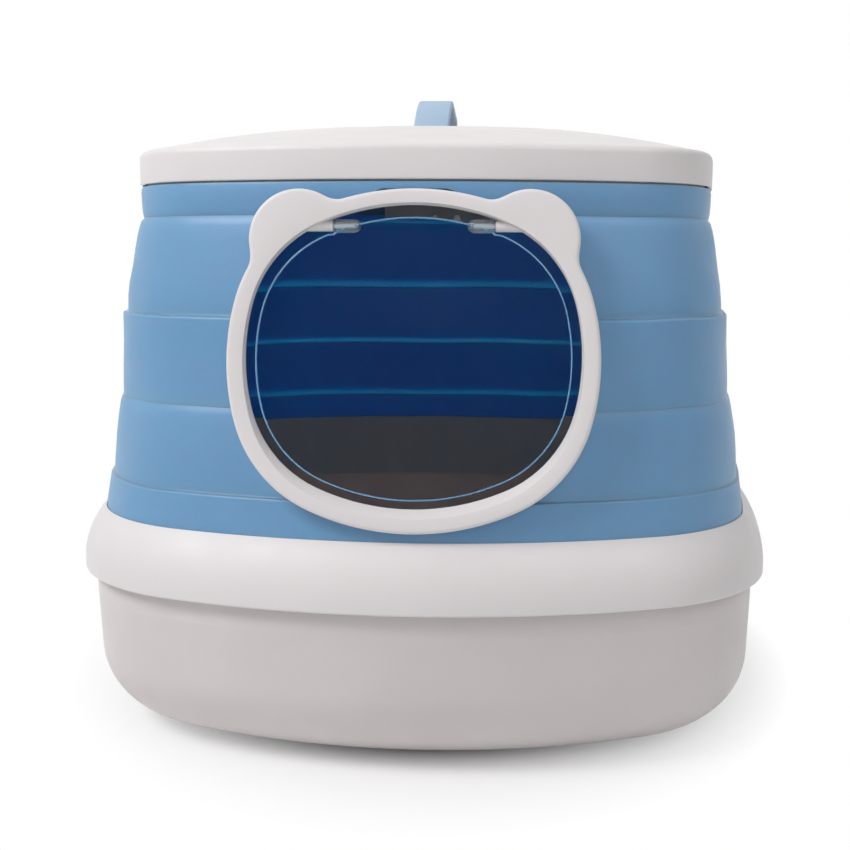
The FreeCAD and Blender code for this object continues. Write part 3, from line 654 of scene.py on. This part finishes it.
def soft_wall(point):
    """Point of the wall moved a little, as a soft moulding settles, but not at its ends or at the door."""
    amount = ease(point.z, *SOFT_FOOT) * ease(-point.z, -SOFT_TOP[1], -SOFT_TOP[0])
    if point.y < 0:
        amount *= ease(abs(point.x), *SOFT_FRONT)
    broad = noise.noise(Vector((point.x, point.y, BROAD_RISE * point.z)) * BROAD_NOISE)
    fine = noise.noise(Vector((point.y, point.x, FINE_RISE * point.z)) * FINE_NOISE)
    out = Vector((point.x, point.y, 0)).normalized()
    lift = Vector((0, 0, CREASE_WANDER * noise.noise(Vector((point.x, point.y, 0)) * WANDER_NOISE)))
    return point + (out * SOFTNESS * (broad + FINE_SHARE * fine) + lift) * amount


def door_point(x, s, depth):
    """Place of a point given on the door."""
    up = Vector((0, math.sin(DOOR_LEAN), math.cos(DOOR_LEAN)))
    out = Vector((0, -math.cos(DOOR_LEAN), math.sin(DOOR_LEAN)))
    return DOOR_FOOT + Vector((x, 0, 0)) + up * s + out * depth


def wall_depth(gap):
    """Depth at which a line through the door stands a gap outside the wall's face."""
    def depth_at(x, s):
        def outside(depth):
            place = door_point(x, s, depth)
            return oval_gap(PLAN, place.x, place.y) - wall_offset(place.z) - gap
        return root(outside, *WALL_REACH)
    return depth_at


def frame_gap(x, s):
    """How far a point stands outside the frame's outline, an oval with two ears blended into it."""
    oval = oval_gap(FRAME, x, s - FRAME_CENTRE)
    ear = math.hypot(abs(x) - EAR[0], s - EAR[1]) - EAR[2]
    near = max(EAR_BLEND - abs(oval - ear), 0) / EAR_BLEND
    return min(oval, ear) - near * near * EAR_BLEND / 4


def hole_gap(x, s):
    """How far a point stands outside the door's hole."""
    return oval_gap(HOLE, x, s - HOLE_CENTRE)


def bevel_gap(x, s):
    """How far a point stands outside the bevel's edge on the frame's face."""
    return oval_gap(BEVEL, x, s - BEVEL_CENTRE)


def channel_gap(x, s):
    """Outline of the hollow behind the frame's face, between its skirt and its sleeve."""
    return min(frame_gap(x, s) + FRAME_SKIRT, hole_gap(x, s) - SLEEVE_SET - SLEEVE_WALL - CHANNEL_SET)


def flap_gap(x, s):
    """Outline of the flap, with its top corners cut away beside the knuckles."""
    shoulder = max(KNUCKLE[1] - abs(x), FLAP_AXIS - PEG[2] - SHOULDER_GAP - s)
    return max(oval_gap(FLAP, x, s - FLAP_CENTRE), -shoulder)


def door_loop(gap, level, depth, centre=HOLE_CENTRE):
    """Loop on the door where an outline's gap has a level; the depth is a number or depends on the place."""
    loop = []
    for step in range(DOOR_RAYS):
        turn = math.tau * step / DOOR_RAYS
        across, up = math.cos(turn), math.sin(turn)
        reach = root(lambda far: gap(far * across, centre + far * up) - level, *RAY_REACH)
        x, s = reach * across, centre + reach * up
        loop.append(door_point(x, s, depth(x, s) if callable(depth) else depth))
    return loop


def door_cutters():
    """Spaces of the door's sleeve and of the finger notch above the frame, right through the wall."""
    hole = bmesh.new()
    sleeve_space = SLEEVE_SET + SLEEVE_WALL + SLEEVE_CLEARANCE
    skin(hole, [door_loop(hole_gap, sleeve_space, depth) for depth in CUT_REACH])
    notch = bmesh.new()
    half, side_top = NOTCH_SIDE
    top_half, top = NOTCH_TOP
    corners = [(-half, HOLE_CENTRE), (half, HOLE_CENTRE), (half, side_top), (top_half, top),
               (-top_half, top), (-half, side_top)]
    skin(notch, [[door_point(x, s, depth) for x, s in corners] for depth in CUT_REACH])
    return [mesh_object("door_hole", hole), mesh_object("finger_notch", notch)]


def make_wall():
    """Five bands of the folding wall; the two fold bands are baked where they rest and are not attached to
    any body.
    """
    cutters = door_cutters()
    riders = {
        "bottom": ("wall_band_bottom", ["hood"]),
        "lower_fold": ("fold_band_lower", ["hood", "mid", CREASES[0], CREASES[1]]),
        "middle": ("wall_band_middle", ["mid"]),
        "upper_fold": ("fold_band_upper", ["mid", "top", CREASES[2], CREASES[3]]),
        "top": ("wall_band_top", ["top"]),
    }
    for name, (node, bodies) in riders.items():
        face = WALL_FACES[name]
        inside = TOP_NECK if name == "top" else [(offset - thickness(z), z) for offset, z in face[::-1]]
        bm = bmesh.new()
        plan_ring(bm, face + inside, soft_wall)
        piece("wall_" + name, bm, BLUE, node, bodies, WALL_SHARP_ANGLE, cutters)
    for cutter in cutters:
        bpy.data.objects.remove(cutter)


def make_lid():
    """Domed lid with its skirt, the rib that locates it and its hinge knuckles."""
    inner = LID_OFFSET - LID_WALL
    skirt_outside = rounded([
        (LID_OFFSET, LID_BOTTOM, LID_FOOT_ROUND), (LID_OFFSET, LID_SHOULDER, LID_SHOULDER_ROUND),
        (DOME_OFFSET, DOME_FOOT), (inner, LID_BOTTOM)], LID_ROUND_STEPS)[:-1]
    skirt_inside = [
        (DOME_OFFSET, DOME_FOOT - LID_WALL), (inner - LID_HOLLOW_ROUND, LID_HOLLOW_TOP),
        (inner, LID_HOLLOW_TOP - LID_HOLLOW_ROUND), (inner, LID_BOTTOM + LID_INNER_EDGE),
        (inner + LID_INNER_EDGE, LID_BOTTOM)]
    scales = [step / CROWN_STEPS for step in range(CROWN_STEPS - 1, 0, -1)]
    crown = [oval_loop(PLAN, DOME_OFFSET, DOME_FOOT + LID_CROWN * (1 - scale ** 2), scale)
             for scale in scales]
    hollow = [[point - Vector((0, 0, LID_WALL)) for point in loop] for loop in crown]
    skirt = [oval_loop(PLAN, offset, z) for offset, z in skirt_inside + skirt_outside]
    bm = bmesh.new()
    skin(bm, hollow[::-1] + skirt + crown)
    plan_ring(bm, LID_RIB)
    shoulder = HINGE_KNUCKLE_RADIUS - HINGE_KNUCKLE_EDGE
    for side in (-1, 1):
        low, high = sorted(side * end for end in HINGE_KNUCKLE)
        turned(bm, [(low, HINGE_BORE), (low, shoulder), (low + HINGE_KNUCKLE_EDGE, HINGE_KNUCKLE_RADIUS),
                    (high - HINGE_KNUCKLE_EDGE, HINGE_KNUCKLE_RADIUS), (high, shoulder), (high, HINGE_BORE)],
               HINGE_Y, HINGE_Z, closed=True)
        block(bm, Vector((low, HALF_DEPTH + inner, LID_BOTTOM + ARM_RISE[0])),
              Vector((high, ARM_END, LID_BOTTOM + ARM_RISE[1])), ARM_EDGE)
        block(bm, Vector((low, ROOT_Y[0], ROOT_Z[0])), Vector((high, ROOT_Y[1], ROOT_Z[1])), ROOT_EDGE)
    piece("lid_shell", bm, WHITE, "lid", ["lid"])


def make_handle():
    """Strap over the lid, swaying a little to one side, with a toggle on each end."""
    path = rounded([(-HANDLE_FOOT_Y, HANDLE_FOOT), (-HANDLE_TOP_Y, HANDLE_TOP, HANDLE_BEND),
                    (HANDLE_TOP_Y, HANDLE_TOP, HANDLE_BEND), (HANDLE_FOOT_Y, HANDLE_FOOT)], HANDLE_BEND_STEPS)
    half, thick = HANDLE_WIDTH / 2, HANDLE_THICKNESS / 2
    corners = [(-half, -thick), (half, -thick), (half, thick), (-half, thick)]
    section = rounded([(*corner, HANDLE_EDGE) for corner in corners], HANDLE_EDGE_STEPS)
    loops = []
    for index, middle in enumerate(path):
        along = (path[min(index + 1, len(path) - 1)] - path[max(index - 1, 0)]).normalized()
        out = Vector((-along.y, along.x))
        sway = HANDLE_SWAY * (middle.y - HANDLE_FOOT) / (HANDLE_TOP - HANDLE_FOOT)
        loops.append([Vector((x + sway, *(middle + out * rise))) for x, rise in section])
    bm = bmesh.new()
    skin(bm, loops)
    for side in (-1, 1):
        centre = Vector((0, side * TOGGLE_Y, HANDLE_FOOT))
        block(bm, centre - Vector((TOGGLE_HALF_WIDTH, TOGGLE_HALF_LENGTH, TOGGLE_HEIGHT)),
              centre + Vector((TOGGLE_HALF_WIDTH, TOGGLE_HALF_LENGTH, 0.0)), TOGGLE_EDGE)
    piece("strap", bm, STRAP_BLUE, "carry_handle", ["lid"])


def make_frame():
    """Eared frame whose skirt and sleeve follow the wall, with the pegs that carry the flap."""
    seat = wall_depth(SEAT_GAP)
    sleeve_end = wall_depth(-WALL - SLEEVE_PROUD)
    loops = [door_loop(frame_gap, 0, seat)]
    for step in range(FRAME_EDGE_STEPS + 1):
        turn = math.pi / 2 * step / FRAME_EDGE_STEPS
        loops.append(door_loop(frame_gap, FRAME_EDGE_ROUND * (math.cos(turn) - 1),
                               FRAME_EDGE_ROUND * (math.sin(turn) - 1)))
    sleeve = SLEEVE_SET + SLEEVE_WALL
    loops += [door_loop(bevel_gap, level, depth) for level, depth in BEVEL_FACE_EDGE]
    loops += [door_loop(hole_gap, level, depth) for level, depth in BEVEL_FOOT_EDGE]
    for gap, level, depth in (
            (hole_gap, 0, SLEEVE_EDGE - FRAME_FACE), (hole_gap, SLEEVE_EDGE, -FRAME_FACE),
            (hole_gap, SLEEVE_SET, -FRAME_FACE), (hole_gap, SLEEVE_SET, sleeve_end),
            (hole_gap, sleeve, sleeve_end), (hole_gap, sleeve, -FRAME_FACE),
            (channel_gap, 0, -FRAME_FACE), (channel_gap, 0, seat)):
        loops.append(door_loop(gap, level, depth))
    bm = bmesh.new()
    skin(bm, loops, closed=True)
    axis = door_point(0, FLAP_AXIS, FLAP_DEPTH)
    start, end, radius = PEG
    for side in (-1, 1):
        peg = [(start, radius - PEG_EDGE), (start + PEG_EDGE, radius), (end, radius)]
        turned(bm, [(side * x, reach) for x, reach in peg], axis.y, axis.z)
    piece("eared_frame", bm, WHITE, "door_frame", ["door"])


def make_flap():
    """Clear flap whose cut edge has a painted glow, with two thicker knuckles."""
    half = FLAP_THICKNESS / 2
    loops = []
    for step in range(FLAP_EDGE_STEPS + 1):
        turn = math.pi * step / FLAP_EDGE_STEPS - math.pi / 2
        loops.append(door_loop(flap_gap, FLAP_EDGE_ROUND * (math.cos(turn) - 1),
                               FLAP_DEPTH + half * math.sin(turn), FLAP_CENTRE))
    bm = bmesh.new()
    skin(bm, loops)
    for face in bm.faces:
        face.material_index = EDGE_SLOT if len(face.verts) == 4 else PANEL_SLOT
    axis = door_point(0, FLAP_AXIS, FLAP_DEPTH)
    start, end, radius = KNUCKLE
    turns = [math.pi / 2 * step / KNUCKLE_NOSE_STEPS for step in range(1, KNUCKLE_NOSE_STEPS + 1)]
    nose = [(start + radius * (1 - math.cos(turn)), radius * math.sin(turn)) for turn in turns]
    profile = [(start, KNUCKLE_TIP), *nose, (end - KNUCKLE_EDGE, radius), (end, radius - KNUCKLE_EDGE),
               (end, KNUCKLE_BORE), (start + KNUCKLE_BORE_END, KNUCKLE_BORE)]
    plate_faces = len(bm.faces)
    for side in (-1, 1):
        turned(bm, [(side * x, reach) for x, reach in profile], axis.y, axis.z)
    bm.faces.ensure_lookup_table()
    for face in bm.faces[plate_faces:]:
        face.material_index = KNUCKLE_SLOT
    panel = piece("clear_panel", bm, CLEAR, "door_flap", ["flap"])
    panel.data.materials.append(CLEAR_EDGE)
    panel.data.materials.append(CLEAR_THICK)


make_pan()
make_collar()
make_wall()
make_lid()
make_handle()
make_frame()
make_flap()


def make_camera():
    """Camera at the photograph's place, with its field of view."""
    data = bpy.data.cameras.new("camera")
    data.sensor_width = SENSOR_WIDTH
    data.lens = SENSOR_WIDTH * FOCAL_PIXELS / IMAGE_PIXELS
    camera = bpy.data.objects.new("camera", data)
    bpy.context.scene.collection.objects.link(camera)
    turn = Matrix.Rotation(CAMERA_YAW, 4, "Z") @ Matrix.Rotation(math.pi / 2 - CAMERA_PITCH, 4, "X")
    camera.matrix_world = Matrix.Translation(CAMERA_PLACE) @ turn @ Matrix.Rotation(CAMERA_ROLL, 4, "Z")
    bpy.context.scene.camera = camera


def area_light(name, place, aim, size, power):
    """Square soft light at a place, facing an aim, in metres and watts."""
    data = bpy.data.lights.new(name, "AREA")
    data.size = size
    data.energy = power
    light = bpy.data.objects.new(name, data)
    light.location = place
    light.rotation_euler = (Vector(aim) - Vector(place)).to_track_quat("-Z", "Y").to_euler()
    bpy.context.scene.collection.objects.link(light)


def seen_directly(tree):
    """1 for rays that show the background itself: from the camera, in gloss and through glass."""
    path = add_node(tree, "LightPath")
    first = add_node(tree, "Math", operation="MAXIMUM")
    tree.links.new(path.outputs["Is Camera Ray"], first.inputs[0])
    tree.links.new(path.outputs["Is Transmission Ray"], first.inputs[1])
    second = add_node(tree, "Math", operation="MAXIMUM")
    tree.links.new(first.outputs[0], second.inputs[0])
    tree.links.new(path.outputs["Is Glossy Ray"], second.inputs[1])
    return second.outputs[0]


def make_world():
    """White background that lights the object only softly."""
    world = bpy.data.worlds.new("studio")
    bpy.context.scene.world = world
    tree, output = node_tree(world)
    soft = add_node(tree, "Background", Color=PURE_WHITE, Strength=AMBIENT)
    white = add_node(tree, "Background", Color=PURE_WHITE, Strength=1.0)
    mix_shaders(tree, output, seen_directly(tree), soft, white)


def make_floor():
    """Pale floor that keeps the shadow near the object and fades to white away from it."""
    bpy.ops.mesh.primitive_plane_add(size=FLOOR_SIZE, location=(0, 0, -FLOOR_DROP))
    floor = bpy.context.object
    floor.name = "floor"
    material = bpy.data.materials.new("floor")
    tree, output = node_tree(material)
    place = add_node(tree, "TexCoord").outputs["Object"]
    oval = add_node(tree, "Mapping", Vector=place, Scale=(1 / (HALF_WIDTH * MM), 1 / (HALF_DEPTH * MM), 1))
    distance = add_node(tree, "VectorMath", operation="LENGTH")
    tree.links.new(oval.outputs["Vector"], distance.inputs[0])
    far = spread(tree, distance.outputs["Value"], 0.0, 1.0, *FLOOR_FADE)
    shown = add_node(tree, "Math", operation="MULTIPLY")
    tree.links.new(far, shown.inputs[0])
    tree.links.new(seen_directly(tree), shown.inputs[1])
    paper = add_node(tree, "BsdfDiffuse", Color=PAPER)
    white = add_node(tree, "Emission", Color=PURE_WHITE, Strength=1.0)
    mix_shaders(tree, output, shown.outputs[0], paper, white)
    floor.data.materials.append(material)


make_camera()
make_floor()
make_world()
area_light("key", place=(-1.35, -1.1, 1.8), aim=(0, 0, 0.15), size=0.8, power=31.0)
area_light("fill", place=(0.9, -1.1, 1.5), aim=(0, 0, 0.25), size=1.0, power=6.0)
area_light("top", place=(0.0, 0.2, 2.0), aim=(0, 0, 0.2), size=1.6, power=6.5)
area_light("rear", place=(-0.35, 1.3, 0.16), aim=(0, 0.2, 0.2), size=0.8, power=8.0)
bpy.context.scene.view_settings.view_transform = "Standard"
